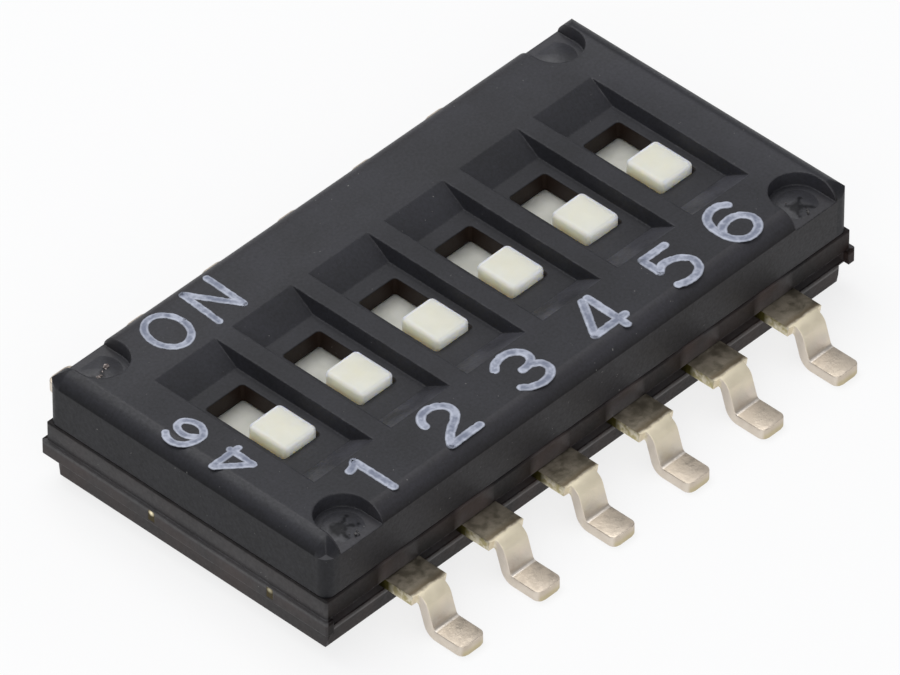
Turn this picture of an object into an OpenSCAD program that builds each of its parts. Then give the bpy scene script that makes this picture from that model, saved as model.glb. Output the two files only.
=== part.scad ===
// Half-pitch slide DIP switch for surface mounting.
// A moulded base carries insert-moulded terminals, a cover is staked down on
// four posts of the base, and a slider with a sprung contact runs in each channel.
// Origin: centre of the footprint on the solder plane. +X runs from switch 1 to the
// last switch, +Y points to the ON side, +Z is up. Millimetres.

/* [Layout] */
// Number of switches side by side
positions = 6; // [2:1:10]
// Distance between neighbouring switches and between neighbouring leads
pitch = 1.27; // [1.2:0.01:1.6]
// From the centre of an outer switch to the end face of the cover
end_margin = 1.245; // [1.2:0.005:1.6]
// Width of the cover and of the base's upper band
body_w = 4.46; // [4.3:0.02:5.4]

/* [Cover] */
// Height of the cover's outer walls
cover_h = 0.78; // [0.74:0.01:1.1]
// Radius of the rounding along the cover's top edges
edge_r = 0.26; // [0.1:0.04:0.3]
// Slope at which that rounding ends in a crease on the side, in degrees
edge_end = 74; // [62:4:90]
// Radius of the cover's upright corners
cover_corner_r = 0.15; // [0.04:0.01:0.25]
// Chamfer on both edges of the joint between cover and base
joint_chamfer = 0.018; // [0.01:0.002:0.05]

/* [Channels] */
// Depth of the channels below the cover's top
channel_d = 0.2; // [0.1:0.01:0.24]
// Thickness of the cover under a channel
floor_t = 0.25; // [0.15:0.01:0.28]
// Top width of the ribs that part the channels
rib_w = 0.28; // [0.16:0.01:0.34]
// Run-in of a channel's side walls from top to floor
wall_draft = 0.04; // [0.01:0.01:0.08]
// Level floor of a channel in front of its window
front_land = 0.32; // [0.2:0.01:0.36]
// Level floor of a channel behind its window
back_land = 0.23; // [0.1:0.01:0.3]
// Length of the ramp up to the digit strip in front
front_ramp = 0.34; // [0.1:0.01:0.38]
// Length of the ramp up to the plain strip behind
back_ramp = 0.39; // [0.1:0.01:0.6]

/* [Windows] */
// Width of the window that the knob stands in
window_w = 0.62; // [0.56:0.01:0.74]
// Length of the window along the travel
window_l = 1.26; // [1.14:0.01:1.36]
// Centre of the windows from the middle of the body, towards ON
window_y = -0.03; // [-0.06:0.01:0.1]
// Corner radius of the windows
window_r = 0.05; // [0.02:0.01:0.1]

/* [Sliders] */
// Width of the knob
knob_w = 0.52; // [0.36:0.01:0.54]
// Length of the knob along the travel
knob_l = 0.6; // [0.5:0.01:0.7]
// How far the knob's top lies below the cover's top
knob_drop = 0.07; // [0.02:0.01:0.16]
// Radius of the knob's upright corners
knob_corner_r = 0.07; // [0.03:0.01:0.12]
// Radius of the rounding round the knob's top
knob_edge_r = 0.05; // [0.02:0.01:0.07]
// Gap left between the knob and a window end when it stops
end_gap = 0.02; // [0.01:0.005:0.05]
// Width of the slider's plate under the cover
plate_w = 0.84; // [0.76:0.01:0.9]
// How far the plate still reaches past the window's end when it stops
plate_lap = 0.02; // [0.01:0.005:0.06]
// Corner radius of the slider's plate
plate_corner_r = 0.08; // [0.03:0.01:0.15]
// Running gap above, below and beside the plate
run_gap = 0.02; // [0.01:0.005:0.03]

/* [Base] */
// Gap between the solder plane and the underside of the base
standoff = 0.04; // [0.02:0.01:0.1]
// Height of the base below the terminals
lower_h = 0.38; // [0.3:0.01:0.6]
// Height of the band above the terminals, up to the joint
band_h = 0.29; // [0.25:0.01:0.4]
// Depth of the groove along both long sides, at the terminals' level
groove_d = 0.12; // [0.08:0.01:0.26]
// Gap in the groove above and below the terminals
groove_gap = 0.01; // [0.005:0.005:0.04]
// How far the lip under the groove stays inside the cover's side
lip_in = 0.01; // [0:0.005:0.06]
// How far the band stands out past the cover all round
band_out = 0.012; // [0.002:0.002:0.03]
// How far the long sides run in from the cover's side at the underside
foot_in = 0.1; // [0.03:0.005:0.15]
// How far the end faces below the flange stay inside the cover
end_in = 0.08; // [0.03:0.005:0.15]
// Radius of the band's upright corners
band_corner_r = 0.03; // [0.02:0.01:0.1]
// Radius of the upright corners below the flange
lower_corner_r = 0.12; // [0.05:0.01:0.25]

/* [End flanges] */
// How far the flange stands out of the end faces
flange_out = 0.054; // [0.04:0.002:0.1]
// How far the flange stands out of the long sides where it wraps the corners
flange_wrap = 0.058; // [0.04:0.002:0.08]
// How far the flange reaches back along the long sides, from the end face
flange_back = 0.06; // [0.04:0.01:0.2]
// How far the flange reaches below the terminals' level
flange_drop = 0.04; // [0.02:0.01:0.1]

/* [Staking] */
// From a post's centre to the end face of the cover
stake_x = 0.59; // [0.5:0.01:0.68]
// From a post's centre to the long side of the cover
stake_y = 0.3; // [0.28:0.01:0.4]
// Radius of the round end of the recess over each post
recess_r = 0.35; // [0.3:0.005:0.4]
// Depth of those recesses
recess_d = 0.2; // [0.1:0.01:0.3]
// Radius of the posts
post_r = 0.14; // [0.1:0.01:0.15]
// Gap between a post and its hole in the cover
post_gap = 0.01; // [0.005:0.005:0.02]
// Radius of the staked head
head_r = 0.19; // [0.17:0.01:0.28]
// Height of the staked head
head_h = 0.03; // [0.02:0.01:0.09]
// Width of the cross that the staking tool leaves in the head
punch_w = 0.07; // [0.04:0.01:0.1]

/* [Terminals] */
// Thickness of the terminal sheet
sheet_t = 0.15; // [0.1:0.01:0.2]
// Width of the shoulder that leaves the housing
shoulder_w = 0.57; // [0.48:0.01:0.7]
// How far the shoulder stands out of the body's side
shoulder_out = 0.43; // [0.2:0.01:0.45]
// Width of the formed lead and of the contact tongue inside
lead_w = 0.4; // [0.38:0.01:0.46]
// From the body's side to the start of the first bend
bend_out = 0.39; // [0.2:0.01:0.6]
// Inner radius of both bends
bend_r = 0.05; // [0.03:0.01:0.08]
// Slope of the leg below the horizontal, in degrees
leg_slope = 72; // [60:1:84]
// Length of the soldered foot beyond the second bend
foot_l = 0.4; // [0.25:0.01:0.7]
// Radius of the foot's corners in plan
foot_corner_r = 0.09; // [0.03:0.01:0.15]
// How deep the wide part of a terminal sits in the moulding
anchor_l = 0.5; // [0.3:0.01:0.7]

/* [Sprung contacts] */
// Thickness of the contact sheet
spring_t = 0.06; // [0.04:0.005:0.08]
// Width of the contact
spring_w = 0.34; // [0.24:0.01:0.36]
// From the contact's middle to each of its two wiping points
wiper_half = 0.45; // [0.4:0.01:0.5]
// Slope of the contact's arms below the horizontal, in degrees
arm_slope = 55; // [45:1:65]
// Bend radius of the arms and of their toes, inside
arm_r = 0.05; // [0.03:0.01:0.07]
// How far a toe curls up past its wiping point, in degrees
toe_curl = 50; // [20:5:80]
// Gap between the wiping points and the terminals
wiper_gap = 0.01; // [0.005:0.005:0.03]
// Radius of the peg that holds the contact under its slider
peg_r = 0.07; // [0.05:0.005:0.09]
// Gap round the contact in its slider and round the peg
peg_gap = 0.01; // [0.005:0.005:0.02]
// Gap between the moving contact and the walls of its well
well_gap = 0.05; // [0.03:0.01:0.08]

/* [Tie bar ends] */
// Width of the cut tie bars in the end faces
tie_w = 0.1; // [0.06:0.01:0.2]
// Length of the tie bars left inside the base
tie_l = 0.5; // [0.3:0.01:0.6]
// Place of the tie bar behind the middle
tie_back_y = 0.51; // [0.3:0.01:1.2]
// Place of the tie bar in front of the middle
tie_front_y = -1.38; // [-1.7:0.01:-0.6]

/* [Hidden] */
$fn = 48;
bend_steps = 6; // straight pieces that stand for one bend in a strip's profile
cut = 1; // how far a cutter runs past the face that it opens

body_l = (positions - 1) * pitch + 2 * end_margin;

// Levels, from the solder plane up
z_sheet = standoff + lower_h;
z_band = z_sheet + sheet_t;
z_joint = z_band + band_h;
z_lip = z_sheet - groove_gap;
z_eave = z_band + groove_gap;
z_flange = z_sheet - flange_drop;
z_top = z_joint + cover_h;
z_channel = z_top - channel_d;
z_ceiling = z_channel - floor_t;
z_plate = z_joint + run_gap;
z_recess = z_top - recess_d;

// Places along the travel
window_front = window_y - window_l / 2;
window_back = window_y + window_l / 2;
travel = window_l - knob_l - 2 * end_gap;
slider_y = window_front + end_gap + knob_l / 2;
plate_l = knob_l + 2 * (travel + end_gap + plate_lap);
pocket_front = slider_y - plate_l / 2 - 2 * end_gap;
pocket_back = slider_y + travel + plate_l / 2 + 2 * end_gap;

// Where the two fixed contacts end inside the wells
front_tip = slider_y + travel / 2;
back_tip = slider_y + travel / 2 + wiper_half;

plate_t = z_ceiling - z_plate - run_gap;
groove_y = body_w / 2 - groove_d;
spring_drop = z_plate - z_band - wiper_gap;
toe_reach = wiper_half + (arm_r + spring_t) * sin(toe_curl) + well_gap;

function switch_x(i) = (i - (positions + 1) / 2) * pitch;

// A formed strip is walked from its start in chords, each [length, turn in degrees].
function straight(l) = [[l, 0]];
function bend(r, turn) =
    [for (k = [1 : bend_steps]) [2 * r * sin(abs(turn) / bend_steps / 2), turn / bend_steps]];
function walk(steps, p, a, k = 0) =
    k == len(steps) ? [[p, a]] :
    let (mid = a + steps[k][1] / 2)
    concat([[p, a]], walk(steps, p + steps[k][0] * [cos(mid), sin(mid)], a + steps[k][1], k + 1));
function strip_outline(stops, t) = concat(
    [for (s = stops) s[0] + t / 2 * [-sin(s[1]), cos(s[1])]],
    [for (k = [len(stops) - 1 : -1 : 0]) stops[k][0] - t / 2 * [-sin(stops[k][1]), cos(stops[k][1])]]
);
// The same walk on the other side of its start, towards the start, which it leaves out
function mirrored(stops) =
    [for (k = [len(stops) - 1 : -1 : 1]) [[-stops[k][0][0], stops[k][0][1]], -stops[k][1]]];
// Straight length between two like bends of radius r that together drop by h
function leg_length(h, r, slope) = (h - 2 * r * (1 - cos(slope))) / sin(slope);
// How far such a step reaches sideways
function leg_reach(h, r, slope) = 2 * r * sin(slope) + leg_length(h, r, slope) * cos(slope);

// Extrusions of a profile, centred: the first axis of the profile stays level
module along_x(l) { rotate([90, 0, 90]) linear_extrude(l, center = true) children(); }
module along_y(l) { rotate([90, 0, 0]) linear_extrude(l, center = true) children(); }

module at_corners(x, y) {
    for (sx = [-1, 1], sy = [0, 1]) mirror([0, sy]) translate([sx * x, y]) children();
}

// Rectangle with true arcs at its corners, centred
module round_rect(l, w, r) {
    square([l - 2 * r, w], center = true);
    square([l, w - 2 * r], center = true);
    for (sx = [-1, 1], sy = [-1, 1])
        translate([sx * (l / 2 - r), sy * (w / 2 - r)]) circle(r);
}

// Section of a block that stands on z = 0: chamfered below, rounded above
module block_section(w, h, chamfer, r) {
    polygon([
        [-w / 2, chamfer], [-w / 2 + chamfer, 0], [w / 2 - chamfer, 0], [w / 2, chamfer],
        [w / 2, h - r], [-w / 2, h - r]
    ]);
    translate([-w / 2 + r, h - r - chamfer]) square([w - 2 * r, r + chamfer]);
    for (s = [-1, 1]) translate([s * (w / 2 - r), h - r]) circle(r);
}

// Block with true arcs on its upright corners and round its top. The top's rounding
// is cut off by the sides where it has reached the given slope.
module soft_block(l, w, h, corner_r, r, slope = 90, chamfer = 0) {
    past = r * (1 - sin(slope));
    intersection() {
        linear_extrude(h) round_rect(l, w, corner_r);
        along_x(l) block_section(w + 2 * past, h, chamfer + past, r);
        along_y(w) block_section(l + 2 * past, h, chamfer + past, r);
    }
}

// Channel with its ramps, drafted walls and window, for the switch at x = 0
module channel() {
    top_half = (pitch - rib_w) / 2;
    over = channel_d + cut;
    // Slopes of walls and ramps run on above the top, so that the cut has clean edges
    module section(front, back, lean_front, lean_back) {
        polygon([
            [front, 0], [back, 0],
            [back + lean_back * over / channel_d, over],
            [front - lean_front * over / channel_d, over]
        ]);
    }
    floor_front = window_front - front_land;
    floor_back = window_back + back_land;
    translate([0, 0, z_channel]) intersection() {
        along_x(pitch) section(floor_front, floor_back, front_ramp, back_ramp);
        along_y(body_w) section(wall_draft - top_half, top_half - wall_draft, wall_draft, wall_draft);
        translate([-top_half, -body_w / 2]) cube([2 * top_half, body_w, over]);
    }
    translate([0, window_y, z_joint]) linear_extrude(z_top - z_joint)
        round_rect(window_w, window_l, window_r);
    translate([-plate_w / 2 - run_gap, pocket_front, z_joint - cut])
        cube([plate_w + 2 * run_gap, pocket_back - pocket_front, z_ceiling - z_joint + cut]);
}

// Round-ended recess that runs out through the long side, with the post's hole
module stake_recess() {
    translate([0, 0, z_recess]) linear_extrude(recess_d + cut) {
        circle(recess_r);
        translate([-recess_r, 0]) square([2 * recess_r, stake_y + cut]);
    }
    translate([0, 0, z_joint - cut]) cylinder(h = cover_h + cut, r = post_r + post_gap);
}

module cover() {
    color("#26282b") difference() {
        translate([0, 0, z_joint])
            soft_block(body_l, body_w, cover_h, cover_corner_r, edge_r, edge_end, joint_chamfer);
        for (i = [1 : positions]) translate([switch_x(i), 0]) channel();
        at_corners(body_l / 2 - stake_x, body_w / 2 - stake_y) stake_recess();
    }
}

// Section of the base's core across the long sides; its top ends inside the band
module core_section() {
    side = body_w / 2;
    for (s = [0, 1]) mirror([s, 0]) polygon([
        [0, standoff], [side - foot_in, standoff], [side - lip_in, z_lip],
        [groove_y, z_lip], [groove_y, z_joint - band_h / 2], [0, z_joint - band_h / 2]
    ]);
}

// Core of the base: full length from the flange up, set in and rounded below it
module core() {
    intersection() {
        along_x(body_l) core_section();
        union() {
            linear_extrude(z_joint) round_rect(body_l - 2 * end_in, body_w - 2 * lip_in, lower_corner_r);
            translate([0, 0, z_flange]) linear_extrude(z_joint - z_flange)
                square([body_l, body_w], center = true);
        }
    }
}

module chamfered_section(w, h, chamfer) {
    polygon([
        [-w / 2, 0], [w / 2, 0], [w / 2, h - chamfer],
        [w / 2 - chamfer, h], [chamfer - w / 2, h], [-w / 2, h - chamfer]
    ]);
}

// Band above the groove, that the cover stands on
module band() {
    l = body_l + 2 * band_out;
    w = body_w + 2 * band_out;
    h = z_joint - z_eave;
    translate([0, 0, z_eave]) intersection() {
        linear_extrude(h) round_rect(l, w, band_corner_r);
        along_x(l) chamfered_section(w, h, joint_chamfer);
        along_y(w) chamfered_section(l, h, joint_chamfer);
    }
}

// Ledge across one end face, wrapped round both corners
module end_flange() {
    out_x = body_l / 2 + flange_out;
    out_y = body_w / 2 + flange_wrap;
    h = z_eave - z_flange;
    translate([0, 0, z_flange]) intersection() {
        linear_extrude(h) round_rect(2 * out_x, 2 * out_y, band_corner_r);
        translate([body_l / 2 - flange_back, -out_y]) cube([flange_back + flange_out, 2 * out_y, h]);
    }
}

// Post through the cover, with the low domed head that the staking tool leaves
module stake_post() {
    dome_r = (pow(head_r, 2) + pow(head_h, 2)) / (2 * head_h);
    translate([0, 0, z_band]) cylinder(h = z_recess - z_band + head_h / 4, r = post_r);
    translate([0, 0, z_recess]) difference() {
        intersection() {
            cylinder(h = head_h, r = head_r);
            translate([0, 0, head_h - dome_r]) sphere(dome_r);
        }
        for (a = [45, 135]) rotate(a) translate([0, 0, head_h / 2 + cut / 2])
            cube([2 * head_r, punch_w, cut], center = true);
    }
}

// Well under a slider where its sprung contact moves
module contact_well() {
    w = spring_w + 2 * well_gap;
    y0 = slider_y - toe_reach;
    translate([-w / 2, y0, z_band]) cube([w, travel + 2 * toe_reach, band_h + cut]);
}

module base() {
    color("#2a2c2f") difference() {
        union() {
            band();
            core();
            for (s = [0, 1]) mirror([s, 0]) end_flange();
            at_corners(body_l / 2 - stake_x, body_w / 2 - stake_y) stake_post();
        }
        for (i = [1 : positions]) translate([switch_x(i), 0]) {
            contact_well();
            translate([0, 0, z_sheet]) linear_extrude(sheet_t) {
                terminal_plan(back_tip);
                mirror([0, 1]) terminal_plan(-front_tip);
            }
        }
        for (end = [-1, 1], y = [tie_front_y, tie_back_y]) tie_bar(end, y);
    }
}

// Groove under the slider's plate that the contact lies in
module contact_seat() {
    w = spring_w + 2 * peg_gap;
    translate([-w / 2, -toe_reach, z_plate - cut]) cube([w, 2 * toe_reach, spring_t + cut]);
}

module slider(i) {
    color("#e9e6dc") translate([switch_x(i), slider_y]) {
        difference() {
            translate([0, 0, z_plate]) linear_extrude(plate_t)
                round_rect(plate_w, plate_l, plate_corner_r);
            contact_seat();
        }
        translate([0, 0, z_plate]) cylinder(h = spring_t * 2, r = peg_r);
        translate([0, 0, z_plate + plate_t / 2])
            soft_block(knob_w, knob_l, z_top - knob_drop - z_plate - plate_t / 2,
                knob_corner_r, knob_edge_r);
    }
}

// Bridge contact: a flat under the slider, two arms down to the terminals, curled toes
module contact(i) {
    r = arm_r + spring_t / 2;
    flat_half = wiper_half - leg_reach(spring_drop, r, arm_slope);
    arm = leg_length(spring_drop, r, arm_slope);
    stops = walk(concat(straight(flat_half), bend(r, -arm_slope), straight(arm),
        bend(r, arm_slope + toe_curl)), [0, z_plate + spring_t / 2], 0);
    color("#d8b35a") translate([switch_x(i), slider_y]) difference() {
        along_x(spring_w) polygon(strip_outline(concat(mirrored(stops), stops), spring_t));
        translate([0, 0, z_plate - cut]) cylinder(h = 2 * cut, r = peg_r + peg_gap);
    }
}

// Blank of a terminal seen from above, towards +Y, from its contact tongue's tip
module terminal_plan(tip_y) {
    side = body_w / 2;
    foot_y = side + bend_out + leg_reach(z_sheet, bend_r + sheet_t / 2, leg_slope) + foot_l;
    translate([-lead_w / 2, tip_y]) square([lead_w, foot_y - foot_corner_r - tip_y]);
    translate([-shoulder_w / 2, groove_y - anchor_l])
        square([shoulder_w, side + shoulder_out - groove_y + anchor_l]);
    translate([foot_corner_r - lead_w / 2, tip_y])
        square([lead_w - 2 * foot_corner_r, foot_y - tip_y]);
    for (s = [-1, 1]) translate([s * (lead_w / 2 - foot_corner_r), foot_y - foot_corner_r])
        circle(foot_corner_r);
}

// Terminal towards +Y: the formed strip, trimmed to the blank's outline
module terminal(tip_y) {
    r = bend_r + sheet_t / 2;
    stops = walk(concat(
        straight(body_w / 2 + bend_out - tip_y), bend(r, -leg_slope),
        straight(leg_length(z_sheet, r, leg_slope)), bend(r, leg_slope), straight(foot_l)
    ), [tip_y, z_sheet + sheet_t / 2], 0);
    color("#c9bda9") intersection() {
        along_x(shoulder_w) polygon(strip_outline(stops, sheet_t));
        linear_extrude(z_band) terminal_plan(tip_y);
    }
}

module terminal_back(i) { translate([switch_x(i), 0]) terminal(back_tip); }
module terminal_front(i) { translate([switch_x(i), 0]) mirror([0, 1, 0]) terminal(-front_tip); }

// Cut end of the lead frame, flush with the flange's face
module tie_bar(end, y) {
    x = body_l / 2 + flange_out;
    color("#c8a860") translate([end * (x - tie_l / 2), y, z_sheet + sheet_t / 2])
        cube([tie_l, tie_w, sheet_t], center = true);
}

cover();
base();
for (i = [1 : positions]) {
    slider(i);
    contact(i);
    terminal_front(i);
    terminal_back(i);
}
tie_bar(-1, tie_front_y);  // tie_bar_left_front
tie_bar(-1, tie_back_y);  // tie_bar_left_back
tie_bar(1, tie_front_y);  // tie_bar_right_front
tie_bar(1, tie_back_y);  // tie_bar_right_back
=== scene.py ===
# %% [markdown]
# # A six-way half-pitch slide DIP switch
#
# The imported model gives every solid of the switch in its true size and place.
# This notebook dresses it: it lights it, gives each solid its real finish, and
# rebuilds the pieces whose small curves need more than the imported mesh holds.

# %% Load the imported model
import math
import bmesh
import bpy
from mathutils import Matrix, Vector, noise


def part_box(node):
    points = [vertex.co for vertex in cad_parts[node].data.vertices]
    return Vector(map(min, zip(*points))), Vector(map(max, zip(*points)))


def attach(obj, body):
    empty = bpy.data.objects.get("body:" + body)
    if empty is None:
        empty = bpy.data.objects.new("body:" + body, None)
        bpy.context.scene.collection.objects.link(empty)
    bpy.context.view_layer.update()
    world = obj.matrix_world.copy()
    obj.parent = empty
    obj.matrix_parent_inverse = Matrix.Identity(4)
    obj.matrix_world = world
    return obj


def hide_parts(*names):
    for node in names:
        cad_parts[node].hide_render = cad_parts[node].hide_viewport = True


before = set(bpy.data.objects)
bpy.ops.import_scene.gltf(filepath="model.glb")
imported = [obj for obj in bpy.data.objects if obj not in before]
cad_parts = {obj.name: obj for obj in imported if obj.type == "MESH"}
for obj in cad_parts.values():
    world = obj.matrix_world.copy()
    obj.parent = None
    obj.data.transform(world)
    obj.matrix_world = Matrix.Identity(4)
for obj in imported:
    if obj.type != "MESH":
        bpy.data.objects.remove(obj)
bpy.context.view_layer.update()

# %% [markdown]
# ## Sizes
# Everything is in metres, and the whole switch is under 9 mm long, so sizes are
# written in millimetres and multiplied by `MM`. Levels and rows are read from the
# solids themselves, so the dressing follows them when the part changes.

# %% Sizes that the dressing shares
MM = 0.001
positions = sum(name.startswith("slider_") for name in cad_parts)
slider_boxes = [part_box(f"slider_{i}") for i in range(1, positions + 1)]
switch_x = [(low.x + high.x) / 2 for low, high in slider_boxes]
pitch = switch_x[1] - switch_x[0]
top_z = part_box("cover")[1].z
print(positions, "switches at a pitch of", round(pitch / MM, 3), "mm, top at", round(top_z / MM, 3), "mm")

# %% [markdown]
# ## Small helpers
# A colour is written as the hex value that a screen would show. Blender's shaders
# count light, not screen values, so one function turns hex into linear numbers.
# A second one adds a node of any kind to a tree, sets it up and links it. The few
# nodes that are used again and again have a short word each. Their values can be
# recipes, tuples such as `("times", a, b)`, so that a formula reads in one line.

# %% Colour and node helpers
def linear(hex_colour):
    """Turns an sRGB hex colour into the linear RGBA that shaders use."""
    screen = [int(hex_colour[i:i + 2], 16) / 255 for i in (1, 3, 5)]
    light = [v / 12.92 if v <= 0.04045 else ((v + 0.055) / 1.055) ** 2.4 for v in screen]
    return (*light, 1.0)


WORDS = {  # word: node, its settings, the sockets that take the values in turn, its result
    "ramp": ("ShaderNodeMapRange", {}, (0, 1, 2, 3, 4), 0),  # value, start, end, low, high
    "blend": ("ShaderNodeMix", {}, (0, 2, 3), 0),  # share, value at 0, value at 1
    "tint": ("ShaderNodeMix", {"data_type": "RGBA"}, (0, 6, 7), 2),  # share, colour at 0, at 1
    "scaled": ("ShaderNodeVectorMath", {"operation": "SCALE"}, (0, "Scale"), 0),
    "less": ("ShaderNodeVectorMath", {"operation": "SUBTRACT"}, (0, 1), 0),
    "vector": ("ShaderNodeCombineXYZ", {}, (0, 1, 2), 0),
    "noise": ("ShaderNodeTexNoise", {}, ("Vector", "Scale", "Detail", "Roughness"), 0),
    "bump": ("ShaderNodeBump", {}, ("Height", "Strength", "Distance", "Normal"), 0),
}
# The Math node's words, with one to three values
for word, operation in {"times": "MULTIPLY", "plus": "ADD", "minus": "SUBTRACT", "divided": "DIVIDE",
                        "most": "MAXIMUM", "size": "ABSOLUTE", "wrap": "WRAP",
                        "times plus": "MULTIPLY_ADD"}.items():
    WORDS[word] = "ShaderNodeMath", {"operation": operation}, (0, 1, 2), 0


def add(tree, kind, *values, out=0, **settings):
    """Adds a node, sets it up, links it and gives back one of its outputs. The values go to its
    sockets in turn, or by name from a dict. Each is a number, a hex colour, an output, a list of
    outputs, or a recipe, which is added first."""
    kind, fixed, sockets, out = WORDS.get(kind, (kind, {}, range(len(values)), out))
    node = tree.nodes.new(kind)
    for name, value in {**fixed, **settings}.items():
        setattr(node, name, value)
    by_name = values and isinstance(values[0], dict)
    for name, value in values[0].items() if by_name else zip(sockets, values):
        for part in value if isinstance(value, list) else [value]:
            if isinstance(part, tuple) and isinstance(part[0], str):
                part = add(tree, *part)
            if isinstance(part, bpy.types.NodeSocket):
                tree.links.new(part, node.inputs[name])
            elif isinstance(part, str) and part.startswith("#"):
                node.inputs[name].default_value = linear(part)
            else:
                node.inputs[name].default_value = part
    return node.outputs[out] if node.outputs else node


def new_material(name, wire, *details):
    """A material whose nodes wire(tree, *details) adds; wire gives back the shader's output."""
    mat = bpy.data.materials.new(name)
    mat.use_nodes = True
    mat.node_tree.nodes.clear()
    add(mat.node_tree, "ShaderNodeOutputMaterial", wire(mat.node_tree, *details))
    return mat


print("sRGB #808080 is", round(linear("#808080")[0], 3), "in linear light,", len(WORDS), "words for nodes")

# %% [markdown]
# ## Camera
# A long lens stands 160 mm away and looks down at 42 degrees across the near left
# corner, so that parallel edges stay nearly parallel, as in product photography.

# %% Camera
camera_data = bpy.data.cameras.new("studio_camera")
camera_data.sensor_width = 36
camera_data.lens = 548.6
camera_data.clip_start = 0.001
camera_data.clip_end = 20
camera = bpy.data.objects.new("studio_camera", camera_data)
camera.location = Vector((-86.336, -81.808, 107.022)) * MM
camera.rotation_euler = (math.radians(48.194), 0, math.radians(-46.534))
bpy.context.scene.collection.objects.link(camera)
bpy.context.scene.camera = camera
print("camera", round(camera.location.length / MM), "mm from the switch")

# %% [markdown]
# ## Light and floor
# The switch lies on a white table under large soft lights. A sky of even pale grey
# fills every side, one broad lamp stands behind and above, and a weaker one in
# front. The floor is white card; to the camera and in reflections most of it is
# plain white, and the rest keeps the soft shadow that seats the switch on it.

# %% Light and floor
scene = bpy.context.scene
scene.view_settings.view_transform = "Standard"

world = bpy.data.worlds.new("studio_sky")
world.use_nodes = True
world.node_tree.nodes["Background"].inputs["Color"].default_value = linear("#f6f8ff")
world.node_tree.nodes["Background"].inputs["Strength"].default_value = 0.38
scene.world = world


def lamp(name, place, size, power):
    """A square soft lamp at place, in mm, turned towards the middle of the switch."""
    data = bpy.data.lights.new(name, "AREA")
    data.shape = "SQUARE"
    data.size = size * MM
    data.energy = power
    obj = bpy.data.objects.new(name, data)
    obj.location = Vector(place) * MM
    obj.rotation_euler = (-Vector(place)).to_track_quat("-Z", "Y").to_euler()
    scene.collection.objects.link(obj)
    return obj


lamp("softbox", (5, 45, 125), 110, 0.115)
lamp("front_fill", (-73, -73, 57), 100, 0.05)


def white_card(tree):
    """White to the camera and in reflections, but for the share that shows the shadow."""
    ray = add(tree, "ShaderNodeLightPath").node.outputs
    seen = "most", ("most", ray["Is Camera Ray"], ray["Is Glossy Ray"]), ray["Is Transmission Ray"]
    paper = add(tree, "ShaderNodeBsdfDiffuse", {"Color": "#f4f4f4"})
    glow = add(tree, "ShaderNodeEmission", {"Color": "#ffffff", "Strength": 1.0})
    return add(tree, "ShaderNodeMixShader", ("times", seen, 0.78), paper, glow)


bpy.ops.mesh.primitive_plane_add(size=4)
floor = bpy.context.object
floor.name = "studio_floor"
floor.data.materials.append(new_material("white_card", white_card))
print("floor", floor.dimensions.x, "m square, two lamps and an even sky")

# %% [markdown]
# ## Moulded black plastic
# Cover and base are liquid-crystal polymer, a stiff glass-filled plastic that
# survives soldering. Fresh from a spark-eroded mould it is almost black, a little
# bluish, and matt, with a fine sandy skin. Up close that skin shows as a weak
# mottle of lighter and darker specks, and as tiny bumps that break up the shine.
# Noise gives both. The sand is really about 10 micrometres across, which is finer
# than a pixel, so it is drawn at 40.

# %% Moulded plastic
def grain_scale(size_mm):
    """Noise scale at which one blob of the pattern is about size_mm across."""
    return 1 / (size_mm * MM)


def moulded_plastic(tree, dark, light, film_colour, roughness, grain_mm, tone):
    """Matt moulding: two close shades mixed by a fine and a broad noise, with a sandy skin, paler
    on its edges, partly rubbed and partly a painted highlight, and a few specks of dust. tone gives,
    from place to place, how light it is, which paints in light and shade, how much of a brownish
    film lies on it and how far its edges are rubbed."""
    place = add(tree, "ShaderNodeTexCoord").node.outputs
    sand = add(tree, "noise", place["Object"], grain_scale(grain_mm), 3.0, 0.6)
    cloud = add(tree, "noise", place["Object"], grain_scale(0.9), 3.0, 0.55)
    colour = add(tree, "tint", ("ramp", ("plus", sand, cloud), 0.75, 1.25), dark, light)
    soft = add(tree, "ShaderNodeBevel", {"Radius": 0.03 * MM}, samples=6)
    flat = add(tree, "ShaderNodeNewGeometry", out="Normal")
    level = add(tree, "ShaderNodeVectorMath", soft, flat, operation="DOT_PRODUCT", out="Value")
    wear = add(tree, "noise", place["Object"], grain_scale(0.22), 4.0, 0.7)
    # Paler edges in patches, partly rubbed wear and partly a painted edge highlight
    wear_and_painted_light = "times", ("ramp", level, 0.98, 0.82), ("ramp", wear, 0.46, 0.62)
    fleck = add(tree, "noise", place["Object"], grain_scale(0.045), 1.0)
    dust = "times", ("ramp", fleck, 0.765, 0.81), ("ramp", cloud, 0.45, 0.62)
    share, film, worn = tone(tree, place)
    # share paints light and shade into the colour, and scales the shine with it
    colour = add(tree, "tint", film, ("scaled", colour, share), film_colour)
    colour = add(tree, "tint", ("times", wear_and_painted_light, worn), colour, "#5c5b5e")
    colour = add(tree, "tint", ("times", dust, 0.7), colour, "#8d8c88")
    return add(tree, "ShaderNodeBsdfPrincipled", {
        "Base Color": colour, "Roughness": ("ramp", sand, 0.3, 0.7, roughness + 0.05, roughness - 0.05),
        "Normal": ("bump", sand, 0.5, 0.003 * MM, soft), "IOR": 1.5,
        "Specular IOR Level": ("times", share, 0.36)})


print("sand drawn at a noise scale of", round(grain_scale(0.04)))

# %% [markdown]
# ### Tone by place
# A moulding isn't equally lit all over. Its edges, its joint, the windows and the
# corner recesses each get their own tone, which paints in much of the light and
# shade that falls there, and film lies where nothing rubs. A painted map could hold
# that, but masks worked out from a point's own place need no map and follow the sizes
# of the part. A mask is a recipe that turns a length, in metres, into 0 or 1 on
# either side of a limit, in mm.

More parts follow.
